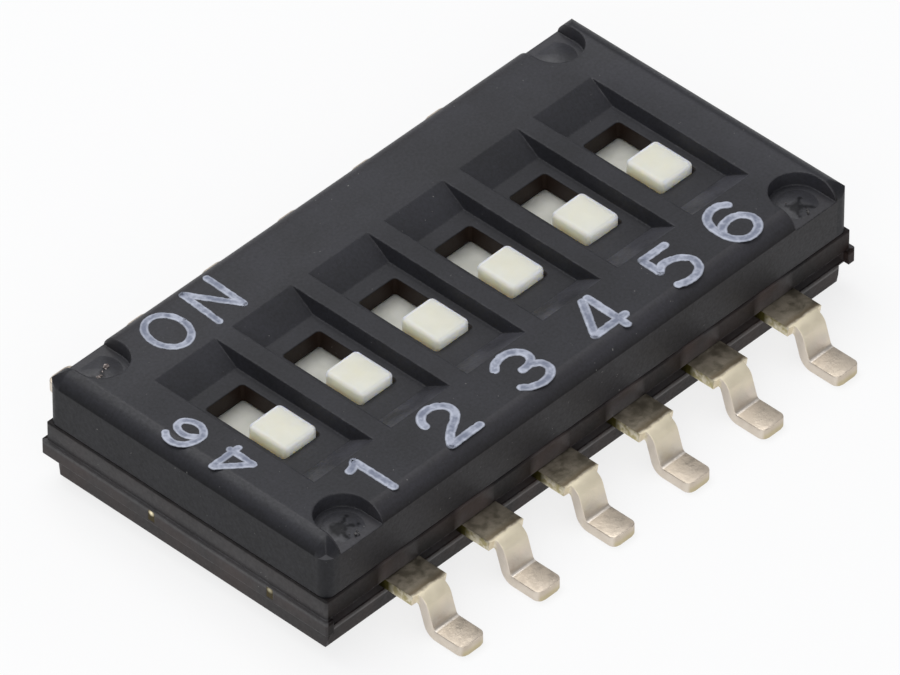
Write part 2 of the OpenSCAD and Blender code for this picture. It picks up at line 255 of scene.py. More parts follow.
# %% Masks by place
def above(value, limit, blur=0.01):
    """1 where the length is more than the limit."""
    return "ramp", value, (limit - blur) * MM, (limit + blur) * MM


def below(value, limit, blur=0.01):
    """1 where the length is less than the limit."""
    return "ramp", value, (limit - blur) * MM, (limit + blur) * MM, 1.0, 0.0


def outside(across, along, half_length, half_width):
    """1 beyond a rectangle about the middle, 0 within it."""
    return "most", above(across, half_length), above(along, half_width)


def lane(x):
    """Distance along X from the middle of the nearest switch, negative on its -X side."""
    return "minus", ("wrap", x, pitch, 0.0), pitch / 2


def spot_of(tree, place):
    """X, Y and Z of a point, and how far it lies from the middle along X and along Y."""
    spot = add(tree, "ShaderNodeSeparateXYZ", place["Object"]).node.outputs
    return spot, add(tree, "size", spot["X"]), add(tree, "size", spot["Y"])


print("one lane for each switch,", round(pitch / MM, 2), "mm wide")

# %% Tone of the cover
CREASE = 1.4517  # height of the crease that ends the cover's rounding, in mm
JOINT = 0.86  # height of the joint between cover and base
ROUND_X, ROUND_Y = 4.2, 2.04  # where the rounding at the ends and along the sides starts
RECESS_X, RECESS_Y = 3.46, 1.56  # where the corner recesses start


def cover_tone(tree, place):
    """Painted shade makes the sides darker than the top and the rounding darkest just above the crease,
    with painted light high on the rounding at the ends and a paler painted tone at the mitres of the
    corners; the ends are darker at the joint. Painted light brightens the front ramps in patches, the
    +X end and the back of the top, and the walls and floors of the corner recesses. The windows get
    painted shade, deepest on their +X walls towards the back, with a brown film, and painted light on
    the front of each +X wall, which the knob shades."""
    spot, across, along = spot_of(tree, place)
    x, y, z = spot["X"], spot["Y"], spot["Z"]
    facing = add(tree, "ShaderNodeSeparateXYZ", place["Normal"]).node.outputs
    high = add(tree, *above(z, CREASE, 0.002))
    ends = add(tree, *above(across, ROUND_X))
    # Painted shade: sides darker than the top, the rounding darkest just above the crease, a paler painted
    # tone at the mitres; painted light high on the rounding at the ends
    side = "blend", ("times", ends, below(z, JOINT + 0.02)), ("blend", ends, 0.72, 0.62), 0.5
    step = (CREASE + 0.01) * MM, (CREASE + 0.12) * MM
    fade = "blend", ends, ("ramp", z, *step, 0.42, 1.25), ("ramp", z, *step, 0.38, 1.0)
    mitre = "times", ("times", ends, above(along, ROUND_Y)), high
    rounding = "blend", mitre, ("blend", high, side, fade), 0.75

    # Painted light on the front ramps, broken into patches by a noise
    ramp_light_noise = add(tree, "noise", place["Object"], grain_scale(0.35), 3.0)
    front = "times", ("ramp", facing["Y"], 0.3, 0.4), ("ramp", facing["Z"], 0.6, 0.7)
    painted_ramp_light = "times", front, ("ramp", ramp_light_noise, 0.35, 0.6, 0.3, 1.0)
    # Painted light towards the +X end and the back of the top
    painted_top_light = "plus", ("ramp", x, 3.5 * MM, 4.1 * MM, 0.0, 0.3), ("ramp", y, 0.9 * MM, 1.4 * MM, 1.0, 1.2)
    off = add(tree, *lane(x))
    # Painted shade in the windows, deepest on their +X walls towards the back
    deep = "times", ("ramp", off, 0.05 * MM, 0.3 * MM), ("ramp", y, 0.2 * MM, 0.6 * MM)
    # Painted light on the front of each window's +X wall, which the knob shades
    wear_and_painted_light = "times", above(off, 0.28, 0.02), below(y, -0.45, 0.05)
    window = add(tree, *below(z, 1.43, 0.004))
    dark = "blend", wear_and_painted_light, ("blend", deep, 0.5, 0.15), 3.0
    top = "blend", window, ("blend", painted_ramp_light, painted_top_light, 2.1), dark

    rim = add(tree, *outside(across, along, 4.19, 2.0))
    corner = add(tree, "times", above(across, RECESS_X), above(along, RECESS_Y))
    # Painted light on the walls and floors of the corner recesses, more towards the ON side
    wall = "times", above(z, CREASE + 0.002, 0.002), ("ramp", facing["Z"], 0.25, 0.1)
    floor = "times", below(z, 1.447, 0.002), ("ramp", facing["Z"], 0.5, 0.9)
    shell = "blend", ("times", corner, wall), ("blend", rim, top, rounding), 1.5
    shell = add(tree, "blend", ("times", corner, floor), shell, ("ramp", y, -1 * MM, 1 * MM, 1.45, 1.7))
    film = add(tree, "blend", rim, ("times", window, 0.6), ("blend", ends, 0.08, 0.0))
    return shell, film, add(tree, "ramp", ("most", rim, above(z, 1.5)), 0.0, 1.0, 0.0, 0.5)


print("cover's crease at", CREASE, "mm, its recesses beyond", RECESS_X, "and", RECESS_Y, "mm")

# %% Tone of the base
FLANGE = 0.53  # height of the underside of the base's flange, in mm
END_FACE = 2.165  # a point lies on an end of the base where |X| - |Y| is more than this


def base_tone(tree, place):
    """Painted light brightens the inside of its groove and the band over each terminal, and painted shade
    darkens the band between the terminals, most low down. The sides are darker below the flange; the
    ends are paler just above the flange, darker upwards and dark at the joint. A brown film lies on
    it, thickest over each terminal."""
    spot, across, along = spot_of(tree, place)
    z = spot["Z"]
    under = add(tree, *below(z, FLANGE))
    off = add(tree, *lane(spot["X"]))
    lead = add(tree, "times", ("times", above(off, -0.36, 0.06), below(off, 0.16, 0.1)), below(across, 3.6))
    step = 0.56 * MM, 0.84 * MM
    # Painted shade on the band between the terminals, darkest low down; painted light on it over each
    # terminal
    band = "blend", lead, ("ramp", z, *step, 0.08, 0.42), ("ramp", z, *step, 2.8, 1.0)
    end = "blend", under, ("ramp", z, *step, 1.5, 0.95), 0.95
    end = "blend", above(z, JOINT - 0.025), end, 0.5
    ends = add(tree, *above(("minus", across, along), END_FACE))
    shell = "blend", ends, ("blend", under, band, 0.3), end
    # Painted light inside the groove
    groove = "times", ("ramp", outside(across, along, 4.37, 2.2), 0.0, 1.0, 1.0, 0.0), above(z, 0.31)
    groove = add(tree, "times", groove, below(z, 0.63))
    cloud = add(tree, "noise", place["Object"], grain_scale(0.5))
    film = "blend", under, ("blend", ends, ("blend", lead, 0.2, 0.5), 0.1), 0.36
    film = add(tree, "times", film, ("ramp", cloud, 0.35, 0.65, 0.4, 1.6))
    return add(tree, "blend", groove, shell, 2.4), film, add(tree, "ramp", groove, 0.0, 1.0, 0.5, 0.0)


print("base's flange from", FLANGE, "to", JOINT, "mm")

# %% The two mouldings
def finish_node(name, mat):
    """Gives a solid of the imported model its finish."""
    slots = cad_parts[name].data.materials
    for i in range(len(slots)):
        slots[i] = mat


COVER_PLASTIC = "#1e1e21", "#2a2a2f", "#33261e", 0.5, 0.04
BASE_PLASTIC = "#242324", "#302f30", "#40332f", 0.52, 0.05
cover_plastic = new_material("sand_textured_lcp_cover", moulded_plastic, *COVER_PLASTIC, cover_tone)
base_plastic = new_material("sand_textured_lcp_base", moulded_plastic, *BASE_PLASTIC, base_tone)
finish_node("cover", cover_plastic)
finish_node("base", base_plastic)
print("two mouldings in", cover_plastic.name, "and", base_plastic.name)

# %% [markdown]
# ## Cream nylon for the sliders
# The sliders are unfilled nylon, cream coloured and smoother than the housing.
# A little light goes in and comes out again nearby, which softens the shadow
# side of each knob. Small flow clouds keep it from looking like paint. Painted light
# brightens the knob's front and -X faces and painted highlights lie on its far rims;
# painted brown shade lies low on its flanks, and the plate under it gets painted grey
# shade, with painted light on its left edge.

# %% Slider plastic
KNOB = dict(width=0.54, length=0.62, top=1.57, corner=0.07, edge=0.05)
knob_y = (slider_boxes[0][0].y + slider_boxes[0][1].y) / 2


def cream_nylon(tree):
    """Satin cream plastic, translucent, with painted light on the knob's front and -X faces, painted
    brown shade low on its flanks and painted highlights on its far rims; the plate gets painted grey
    shade but for painted light on its left edge."""
    place = add(tree, "ShaderNodeTexCoord").node.outputs
    spot = add(tree, "ShaderNodeSeparateXYZ", place["Object"]).node.outputs
    facing = add(tree, "ShaderNodeSeparateXYZ", place["Normal"]).node.outputs
    off = add(tree, *lane(spot["X"]))
    cloud = add(tree, "noise", place["Object"], grain_scale(0.25), 3.0)
    left = add(tree, "ramp", facing["X"], -0.2, -0.7)
    knob = add(tree, "tint", cloud, "#dcd9c6", "#e9e7d8")
    # Painted light on the knob's front and -X faces
    knob = add(tree, "tint", ("ramp", facing["Y"], -0.3, -0.8), knob, "#fffdea")
    knob = add(tree, "tint", left, knob, "#fff3dc")
    # Painted brown shade low on the knob's flanks, strongest on the -X flank
    upright = "ramp", facing["Z"], 0.6, 0.1
    low = "ramp", spot["Z"], 1.46 * MM, 1.26 * MM
    painted_low_shade = "times", ("times", ("blend", left, 0.12, 0.6), upright), ("times", low, 0.95)
    knob = add(tree, "tint", painted_low_shade, knob, "#a67b42")
    # Painted highlight on the knob's far rims
    far_x = above(off, KNOB["width"] / 2 - 0.045, 0.015)
    far_y = above(spot["Y"], knob_y / MM + KNOB["length"] / 2 - 0.045, 0.015)
    knob = add(tree, "tint", ("times", ("most", far_x, far_y), above(spot["Z"], 1.5)), knob, "#fffef6")
    # Painted grey shade on the plate, and painted light on its -X edge
    plate = add(tree, "tint", ("ramp", cloud, 0.38, 0.6), "#c2c2b9", "#cfcec5")
    plate = add(tree, "tint", ("ramp", off, -0.2 * MM, -0.3 * MM), plate, "#fffef8")
    raised = add(tree, "ramp", spot["Z"], 1.18 * MM, 1.22 * MM)
    skin = add(tree, "noise", place["Object"], grain_scale(0.05), 2.0)
    return add(tree, "ShaderNodeBsdfPrincipled", {
        "Base Color": ("tint", raised, plate, knob), "Roughness": 0.45, "IOR": 1.53,
        "Normal": ("bump", skin, 0.3, 0.002 * MM), "Subsurface Weight": ("blend", raised, 0.4, 1.0),
        "Subsurface Radius": (0.4, 0.37, 0.28), "Subsurface Scale": MM})


slider_plastic = new_material("moulded_cream_nylon", cream_nylon)
print("sliders in", slider_plastic.name)

# %% [markdown]
# ## Sliders
# Each slider is a flat plate under the cover with a knob that stands up through
# the window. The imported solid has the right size, but its small roundings are
# coarse, so each slider is built again: rings of points that follow the rounded
# outline of the knob are stacked from the plate to the crowned top.

# %% Mesh helpers
def outline(half_x, half_y, radius, steps=6):
    """Points of a rounded rectangle, anticlockwise, centred on nothing."""
    points = []
    for cx, cy, start in ((1, 1, 0), (-1, 1, 90), (-1, -1, 180), (1, -1, 270)):
        for k in range(steps + 1):
            a = math.radians(start + 90 * k / steps)
            points.append((cx * (half_x - radius) + radius * math.cos(a),
                           cy * (half_y - radius) + radius * math.sin(a)))
    return points


def stack(bm, rings):
    """Skins a stack of equal rings [(points, z), ...] and closes it below and above."""
    rows = [[bm.verts.new((x, y, z)) for x, y in points] for points, z in rings]
    for low, high in zip(rows, rows[1:]):
        for k in range(len(low)):
            n = (k + 1) % len(low)
            bm.faces.new((low[k], low[n], high[n], high[k]))
    bm.faces.new(rows[0][::-1])
    bm.faces.new(rows[-1])


def to_object(bm, name, mat):
    """Turns a bmesh into an object of the scene with one finish."""
    mesh = bpy.data.meshes.new(name)
    bm.to_mesh(mesh)
    bm.free()
    mesh.materials.append(mat)
    obj = bpy.data.objects.new(name, mesh)
    scene.collection.objects.link(obj)
    return obj


def smooth_by_angle(obj, degrees):
    """Smooth faces, with the edges sharper than the angle kept crisp."""
    bm = bmesh.new()
    bm.from_mesh(obj.data)
    for face in bm.faces:
        face.smooth = True
    for edge in bm.edges:
        edge.smooth = len(edge.link_faces) == 2 and edge.calc_face_angle() < math.radians(degrees)
    bm.to_mesh(obj.data)
    bm.free()


print(len(outline(1, 1, 0.2)), "points on each rounded outline")

# %% Slider meshes
PLATE = dict(low=0.88, high=1.17, corner=0.08, edge=0.02)
CAP_STEPS = 6  # faces from the knob's side round to its top


def slider_mesh(half):
    """One slider in mm, centred in X and Y: a plate of the given half size and the knob on it."""
    bm = bmesh.new()
    low, high, corner, edge = PLATE.values()
    stack(bm, [(outline(half.x, half.y, corner), low),
               (outline(half.x, half.y, corner), high - edge),
               (outline(half.x - edge * 0.3, half.y - edge * 0.3, corner), high - edge * 0.3),
               (outline(half.x - edge, half.y - edge, corner - 0.01), high)])
    wide, long, corner, edge = KNOB["width"] / 2, KNOB["length"] / 2, KNOB["corner"], KNOB["edge"]
    foot = 0.012  # how far the knob spreads where it meets the plate
    rings = [(outline(wide + foot, long + foot, corner), high - 0.01),
             (outline(wide, long, corner), high + 0.02)]
    for k in range(CAP_STEPS + 1):
        a = math.radians(90 * k / CAP_STEPS)
        drop = edge * (1 - math.sin(a))
        inset = edge * (1 - math.cos(a))
        rings.append((outline(wide - inset, long - inset, max(corner - inset, 0.02)), KNOB["top"] - drop))
    stack(bm, rings)
    return bm


for i, (low, high) in enumerate(slider_boxes, 1):
    mid = (low + high) / 2
    bm = slider_mesh((high - low) / 2 / MM)
    bmesh.ops.scale(bm, vec=(MM, MM, MM), verts=bm.verts)
    bmesh.ops.translate(bm, vec=(mid.x, mid.y, 0), verts=bm.verts)
    slider = to_object(bm, f"moulded_slider_{i}", slider_plastic)
    smooth_by_angle(slider, 40)
    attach(slider, f"switch_{i}")
    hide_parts(f"slider_{i}")
print(positions, "sliders,", len(slider.data.polygons), "faces each")

# %% [markdown]
# ## Printed figures
# Numbers and ON are pad-printed: a soft silicone pad lays down a film of bluish
# white ink a few micrometres thick, with round stroke ends and slightly ragged
# edges. The figures could be text objects, but a print shop's single-stroke
# figures are simpler: each is a few centre lines, and Geometry Nodes lays a flat
# bead of ink along every line and a round blob on its ends.

# %% Centre lines of the figures, in mm on the cover's top
FIGURES = {
    "1": [[(-3.26, -1.49), (-3.17, -1.465), (-3.105, -1.41)], [(-3.105, -1.41), (-3.10, -2.03)]],
    "2": [[(-2.12, -1.59), (-2.09, -1.50), (-2.00, -1.425), (-1.88, -1.41), (-1.76, -1.46), (-1.69, -1.56),
           (-1.71, -1.67), (-1.80, -1.755), (-1.93, -1.83), (-2.06, -1.93), (-2.14, -2.03)],
          [(-2.14, -2.03), (-1.66, -2.02)]],
    "3": [[(-0.87, -1.51), (-0.79, -1.44), (-0.65, -1.405), (-0.51, -1.44), (-0.42, -1.54), (-0.43, -1.65),
           (-0.51, -1.72), (-0.64, -1.735)],
          [(-0.51, -1.73), (-0.41, -1.80), (-0.395, -1.92), (-0.47, -2.01), (-0.61, -2.05), (-0.77, -2.01),
           (-0.87, -1.93)]],
    "4": [[(0.69, -1.43), (0.36, -1.94)], [(0.36, -1.94), (0.88, -1.93)], [(0.775, -1.43), (0.765, -2.06)]],
    "5": [[(2.07, -1.445), (1.69, -1.445)], [(1.69, -1.445), (1.685, -1.73)],
          [(1.685, -1.73), (1.78, -1.665), (1.91, -1.665), (2.04, -1.73), (2.115, -1.85), (2.08, -1.98),
           (1.96, -2.06), (1.81, -2.07), (1.68, -2.03)]],
    "6": [[(3.10, -1.50), (3.01, -1.435), (2.88, -1.425), (2.75, -1.49), (2.68, -1.62), (2.67, -1.77),
           (2.69, -1.91), (2.77, -2.02), (2.90, -2.07), (3.04, -2.03), (3.13, -1.93), (3.13, -1.81),
           (3.04, -1.71), (2.91, -1.68), (2.78, -1.71), (2.69, -1.79)]],
    "N": [[(-2.44, 1.38), (-2.40, 2.01)], [(-2.40, 2.01), (-2.02, 1.39)], [(-2.02, 1.39), (-2.0, 2.01)]],
    "lot 4": [[(-4.27, -0.29), (-3.85, -0.29)], [(-4.27, -0.31), (-3.94, -0.61)],
              [(-3.93, -0.61), (-3.93, -0.24)]],
    "lot 6": [[(-4.23, 0.50), (-4.285, 0.42), (-4.29, 0.30), (-4.22, 0.19), (-4.09, 0.14), (-3.97, 0.15),
               (-3.885, 0.25), (-3.885, 0.39), (-3.96, 0.49), (-4.06, 0.48), (-4.11, 0.38), (-4.10, 0.26),
               (-4.03, 0.17)]],
}
O_MIDDLE, O_HALF_WIDTH, O_HALF_HEIGHT = (-2.97, 1.695), 0.245, 0.30
FIGURES["O"] = [[(O_MIDDLE[0] + O_HALF_WIDTH * math.cos(a), O_MIDDLE[1] + O_HALF_HEIGHT * math.sin(a))
                 for a in (math.radians(15 * k) for k in range(25))]]
THIN = {"O", "N", "lot 4", "lot 6"}  # printed with a finer line than the numbers


def smooth_line(points, pieces=6):
    """Catmull-Rom curve through the points of a stroke; a two-point stroke stays straight."""
    if len(points) == 2:
        return points
    ends = [points[0], *points, points[-1]]
    line = []
    for four in zip(ends, ends[1:], ends[2:], ends[3:]):
        for k in range(pieces):
            t = k / pieces
            line.append(tuple(0.5 * (2 * b + (c - a) * t + (2 * a - 5 * b + 4 * c - d) * t * t
                                     + (3 * b - a - 3 * c + d) * t ** 3) for a, b, c, d in zip(*four)))
    return [*line, points[-1]]


def stroke_wires(names):
    """One mesh of loose edges, a chain for each stroke of the named figures."""
    bm = bmesh.new()
    for name in names:
        for stroke in FIGURES[name]:
            verts = [bm.verts.new((x * MM, y * MM, top_z)) for x, y in smooth_line(stroke)]
            for a, b in zip(verts, verts[1:]):
                bm.edges.new((a, b))
    return bm


print(len(FIGURES), "figures,", sum(len(f) for f in FIGURES.values()), "strokes")

# %% [markdown]
# The ink itself is matt. Where it is thick or thin can't be told from its place on
# the cover, so its height is stored on its mesh as "height", and the finish reads it.

# %% Ink
def pad_ink(tree):
    """Matt bluish white film, told by its height above the cover: grey where it thins out at its
    edge, whitest on the ridge just inside the edge, greyer again in the middle, where the pad
    squeezed it thin."""
    place = add(tree, "ShaderNodeTexCoord").node.outputs
    patch = add(tree, "noise", place["Object"], grain_scale(0.1), 2.0, 0.5)
    height = add(tree, "ShaderNodeAttribute", attribute_name="height", out="Fac")
    middle = "times", ("ramp", height, 0.7, 0.93), ("ramp", patch, 0.35, 0.65, 1.0, 0.35)
    colour = add(tree, "tint", ("ramp", patch, 0.36, 0.6), "#9fa4b2", "#bfc4d2")
    colour = add(tree, "tint", middle, colour, "#757b8d")
    colour = add(tree, "tint", ("ramp", height, 0.75, 0.15), colour, "#5e626b")
    return add(tree, "ShaderNodeBsdfPrincipled", {"Base Color": colour, "Roughness": 0.6, "IOR": 1.5,
               "Normal": ("bump", patch, 0.5, 0.004 * MM)})


ink = new_material("pad_printed_white_ink", pad_ink)
print("figures in", ink.name)

# %% [markdown]
# The film follows the strokes through a node tree. A circle flattened to the
# film's section is swept along each line, a flattened ball closes each end, and
# a noise shifts the edges by a few micrometres, as ink creeps on a sandy skin.
# The result is baked to a plain mesh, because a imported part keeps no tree.

# %% Helpers for node trees
def new_tree(name, inputs):
    """A Geometry Nodes tree with a geometry in and out, and named inputs of the given kinds."""
    tree = bpy.data.node_groups.new(name, "GeometryNodeTree")
    tree.interface.new_socket("Geometry", in_out="OUTPUT", socket_type="NodeSocketGeometry")
    for label, kind in {"Geometry": "Geometry", **inputs}.items():
        tree.interface.new_socket(label, in_out="INPUT", socket_type="NodeSocket" + kind)
    return tree, add(tree, "NodeGroupInput").node.outputs


def bake(obj, tree, values):
    """Runs a tree on obj with its inputs set, keeps the result as obj's plain mesh."""
    modifier = obj.modifiers.new(tree.name, "NODES")
    modifier.node_group = tree
    for item in tree.interface.items_tree:
        if item.item_type == "SOCKET" and item.in_out == "INPUT" and item.name in values:
            modifier[item.identifier] = values[item.name]
    graph = bpy.context.evaluated_depsgraph_get()
    mesh = bpy.data.meshes.new_from_object(obj.evaluated_get(graph))
    obj.modifiers.remove(modifier)
    obj.data = mesh
    return obj


def joined(parts):
    """One bmesh of all the parts' meshes; the parts' objects go."""
    bm = bmesh.new()
    for obj in parts:
        bm.from_mesh(obj.data)
        bpy.data.objects.remove(obj)
    return bm


print("helpers that make a tree, bake it and join what it made")

# %% Ink along the strokes
ink_tree, start = new_tree("ink_along_strokes", {"Line width": "Float", "Film": "Float", "Creep": "Float",
                                                 "Ink": "Material"})
line = add(ink_tree, "GeometryNodeMeshToCurve", {"Mesh": start["Geometry"]})
line = add(ink_tree, "GeometryNodeResampleCurve", {"Curve": line, "Length": 0.02 * MM}, mode="LENGTH")
line = add(ink_tree, "GeometryNodeSetCurveNormal", {"Curve": line}, mode="Z_UP")
radius = add(ink_tree, "times", start["Line width"], 0.5)
ring = add(ink_tree, "GeometryNodeCurvePrimitiveCircle", {"Resolution": 14, "Radius": 1.0})
section = add(ink_tree, "GeometryNodeTransform",
              {"Geometry": ring, "Scale": ("vector", radius, start["Film"], 1.0)})
bead = add(ink_tree, "GeometryNodeCurveToMesh", {"Curve": line, "Profile Curve": section, "Fill Caps": True})
ball = add(ink_tree, "GeometryNodeMeshUVSphere", {"Segments": 14, "Rings": 6, "Radius": 1.0})
blob = add(ink_tree, "GeometryNodeTransform",
           {"Geometry": ball, "Scale": ("vector", radius, radius, start["Film"])})
ends = add(ink_tree, "GeometryNodeCurveEndpointSelection", {"Start Size": 1, "End Size": 1})
dots = add(ink_tree, "GeometryNodeInstanceOnPoints", {"Points": line, "Selection": ends, "Instance": blob})
film = add(ink_tree, "GeometryNodeJoinGeometry", [bead, dots])
film = add(ink_tree, "GeometryNodeRealizeInstances", {"Geometry": film})
level = add(ink_tree, "ShaderNodeSeparateXYZ", add(ink_tree, "GeometryNodeInputPosition"), out="Z")
film = add(ink_tree, "GeometryNodeStoreNamedAttribute", {"Geometry": film, "Name": "height",
           "Value": ("divided", ("minus", level, top_z), start["Film"])}, data_type="FLOAT", domain="POINT")
wander = add(ink_tree, "ShaderNodeTexNoise", {"Scale": grain_scale(0.06), "Detail": 2.0}, out="Color")
creep = "scaled", ("less", wander, (0.5, 0.5, 0.5)), start["Creep"]
film = add(ink_tree, "GeometryNodeSetPosition", {"Geometry": film, "Offset": creep})
film = add(ink_tree, "GeometryNodeSetMaterial", {"Geometry": film, "Material": start["Ink"]})
add(ink_tree, "NodeGroupOutput", film)
print("ink tree of", len(ink_tree.nodes), "nodes")

# %% Printed figures
FILM, CREEP = 0.006, 0.018  # thickness of the ink and how far its edges wander, in mm
prints = []
for name, figures, width in (("numbers", [f for f in FIGURES if f not in THIN], 0.125),
                             ("letters", sorted(THIN), 0.105)):
    obj = to_object(stroke_wires(figures), name, ink)
    prints.append(bake(obj, ink_tree, {"Line width": width * MM, "Film": FILM * MM, "Creep": CREEP * MM,
                                       "Ink": ink}))
bm = joined(prints)
for vert in bm.verts:
    vert.co.z = top_z + max(-FILM / 2 * MM, min(vert.co.z - top_z, (FILM + 0.002) * MM))
printed = to_object(bm, "printed_figures", ink)
smooth_by_angle(printed, 50)
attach(printed, "housing")
print("ink film of", len(printed.data.polygons), "faces")

# %% [markdown]
# ## Terminals
# The terminals are stamped from 0.15 mm copper alloy strip, plated, and formed
# into gull wings: a wide shoulder leaves the moulding, the lead narrows, bends
# down and bends level again to the soldered foot. One terminal is a section with
# rounded edges that is carried along the formed path while its width follows the
# blank. Geometry Nodes then sets out a row of them at the pitch.

# %% Plated copper alloy
SHEET, SHEET_LOW = 0.15, 0.42  # thickness of the strip and level of its lower face, in mm
HIGHLIGHT_LINE_REACH = 2.945  # where a painted highlight line runs across the lower bend, from the middle


def plated_strip(tree):
    """Satin champagne plating with painted light on the upper bend and painted shade on the foot,
    olive grey tarnish with painted shade on the shoulders, a painted highlight line across the
    lower bend, and golden cut edges with a painted dark reflection near the moulding.
    """
    place = add(tree, "ShaderNodeTexCoord").node.outputs
    spot = add(tree, "ShaderNodeSeparateXYZ", place["Object"]).node.outputs
    reach = add(tree, "size", spot["Y"])  # how far a point lies from the middle of the switch
    facing = add(tree, "ShaderNodeSeparateXYZ", place["Normal"]).node.outputs
    cloud = add(tree, "noise", place["Object"], grain_scale(0.13), 4.0, 0.6)
    hue = add(tree, "noise", place["Object"], grain_scale(0.3), 2.0)
    satin = add(tree, "tint", ("ramp", hue, 0.4, 0.62), "#ddd0c2", "#ddd3bf")
    satin = add(tree, "tint", ("ramp", cloud, 0.35, 0.65), satin, "#e2dacd")
    # Painted light on the upper bend
    bend = add(tree, "times", ("times", above(reach, 2.64, 0.02), below(reach, 2.84, 0.04)), 0.7)
    satin = add(tree, "tint", bend, satin, "#f2e6c6")
    # Painted shade on the foot
    satin = add(tree, "tint", below(spot["Z"], 0.18, 0.04), satin, "#cdc1b1")

    wobble = add(tree, "times plus", cloud, 0.09 * MM, reach)
    # Olive grey tarnish with painted shade on the shoulders
    tarnish_and_painted_shade = add(tree, "tint", ("ramp", cloud, 0.42, 0.6), "#8d8574", "#a29989")
    tarnish_and_painted_shade = add(tree, "tint", above(wobble, 2.63, 0.03), tarnish_and_painted_shade, "#867a66")
    shoulder = "times", below(wobble, 2.70, 0.02), above(spot["Z"], SHEET_LOW + SHEET - 0.02, 0.01)
    top = add(tree, "tint", shoulder, satin, tarnish_and_painted_shade)
    # Painted highlight line across the lower bend
    painted_highlight_line = "times", above(reach, HIGHLIGHT_LINE_REACH - 0.016, 0.006), below(reach, HIGHLIGHT_LINE_REACH + 0.016, 0.006)
    top = add(tree, "tint", ("times", painted_highlight_line, ("ramp", cloud, 0.3, 0.5, 0.4, 0.9)), top, "#f3ece2")

    fleck = add(tree, "noise", place["Object"], grain_scale(0.07), 3.0)
    sheared = "tint", ("ramp", fleck, 0.4, 0.6), "#cabf92", "#f4ecd6"
    edge = "tint", below(reach, 2.68, 0.04), "#dfd5c8", sheared
    # Painted dark reflection on the cut edges near the moulding
    edge = "tint", below(reach, 2.33, 0.05), edge, "#5a5428"
    colour = add(tree, "tint", ("ramp", ("size", facing["X"]), 0.55, 0.85), top, edge)
    tip = "times", ("ramp", ("size", facing["Y"]), 0.6, 0.9), below(spot["Z"], 0.07, 0.03)
    colour = add(tree, "tint", tip, colour, "#c8bc9c")
    grit = add(tree, "noise", place["Object"], grain_scale(0.05), 4.0, 0.65)
    return add(tree, "ShaderNodeBsdfPrincipled", {
        "Base Color": colour, "Metallic": ("ramp", bend, 0.0, 0.7, 1.0, 0.5),
        "Roughness": ("ramp", cloud, 0.35, 0.65, 0.42, 0.6), "Normal": ("bump", grit, 0.6, 0.006 * MM)})


plating = new_material("tin_nickel_plated_copper_strip", plated_strip)
print("terminals in", plating.name)

# %% One formed terminal
# Inner radius of the bends in mm, and how far the lead turns down, in degrees
BEND_R, SLOPE = 0.05, 72
# Along Y from the middle of the switch: where the wide shoulder starts and ends, and the bend
WING_START, WING_END, BEND_START = 1.55, 2.66, 2.64
# Half widths of shoulder and lead, and radii of the foot's corners and of the strip's edges
HALF_WING, HALF_LEAD, FOOT_CORNER, EDGE = 0.285, 0.20, 0.09, 0.014


def formed_path(tip, foot):
    """Stations (distance, y, z, angle) along the middle of the strip, from its tip to the foot's end."""
    mid_r = BEND_R + SHEET / 2
    drop = 2 * mid_r * (1 - math.cos(math.radians(SLOPE)))
    leg = (SHEET_LOW - drop) / math.sin(math.radians(SLOPE))
    stations = [(0.0, tip, SHEET_LOW + SHEET / 2, 0.0)]

    def go(length, turn, count):
        for _ in range(count):
            s, y, z, a = stations[-1]
            mid = math.radians(a + turn / count / 2)
            step = length / count
            stations.append((s + step, y + step * math.cos(mid), z + step * math.sin(mid), a + turn / count))

    arc = mid_r * math.radians(SLOPE)
    go(WING_START - tip - 0.02, 0, 2)
    go(0.04, 0, 4)
    go(BEND_START - WING_START - 0.02, 0, 12)
    go(arc, -SLOPE, 16)
    go(leg, 0, 4)
    go(arc, SLOPE, 12)
    go(foot - FOOT_CORNER, 0, 3)
    go(FOOT_CORNER, 0, 8)
    return stations


def half_width(s, y, a, whole):
    """Half the blank's width at a station: tongue, wide shoulder, lead, rounded foot."""
    if a == 0 and s > whole - FOOT_CORNER:
        past = min(s - (whole - FOOT_CORNER), FOOT_CORNER)
        return HALF_LEAD - FOOT_CORNER + math.sqrt(max(FOOT_CORNER ** 2 - past ** 2, 0.0))
    if y < WING_START:
        return HALF_LEAD
    if y > WING_END:
        fillet = 0.03
        past = y - WING_END
        if past < fillet:
            return HALF_LEAD + fillet - math.sqrt(fillet ** 2 - (fillet - past) ** 2)
        return HALF_LEAD
    return HALF_WING


def terminal_mesh(tip, foot, side):
    """Carries the rounded section along the path; side is 1 for the back row, -1 for the front."""
    bm = bmesh.new()
    path = formed_path(tip, foot)
    whole = path[-1][0]
    rows = []
    for s, y, z, a in path:
        w = half_width(s, y, a, whole)
        t = SHEET / 2
        section = []
        for cx, cz, first in ((1, 1, 0), (-1, 1, 90), (-1, -1, 180), (1, -1, 270)):
            for k in range(4):
                turn = math.radians(first + 30 * k)
                section.append((cx * (w - EDGE) + EDGE * math.cos(turn),
                                cz * (t - EDGE) + EDGE * math.sin(turn)))
        lean = math.radians(a)
        places = [(u, side * (y - v * math.sin(lean)), z + v * math.cos(lean)) for u, v in section]
        rows.append([bm.verts.new([c * MM for c in place]) for place in places])
    for low, high in zip(rows, rows[1:]):
        for k in range(len(low)):
            n = (k + 1) % len(low)
            bm.faces.new((low[k], low[n], high[n], high[k]))
    bm.faces.new(rows[0][::-1])
    bm.faces.new(rows[-1])
    bmesh.ops.recalc_face_normals(bm, faces=bm.faces)
    return bm


print(len(formed_path(1.5, 0.35)), "sections along one terminal")

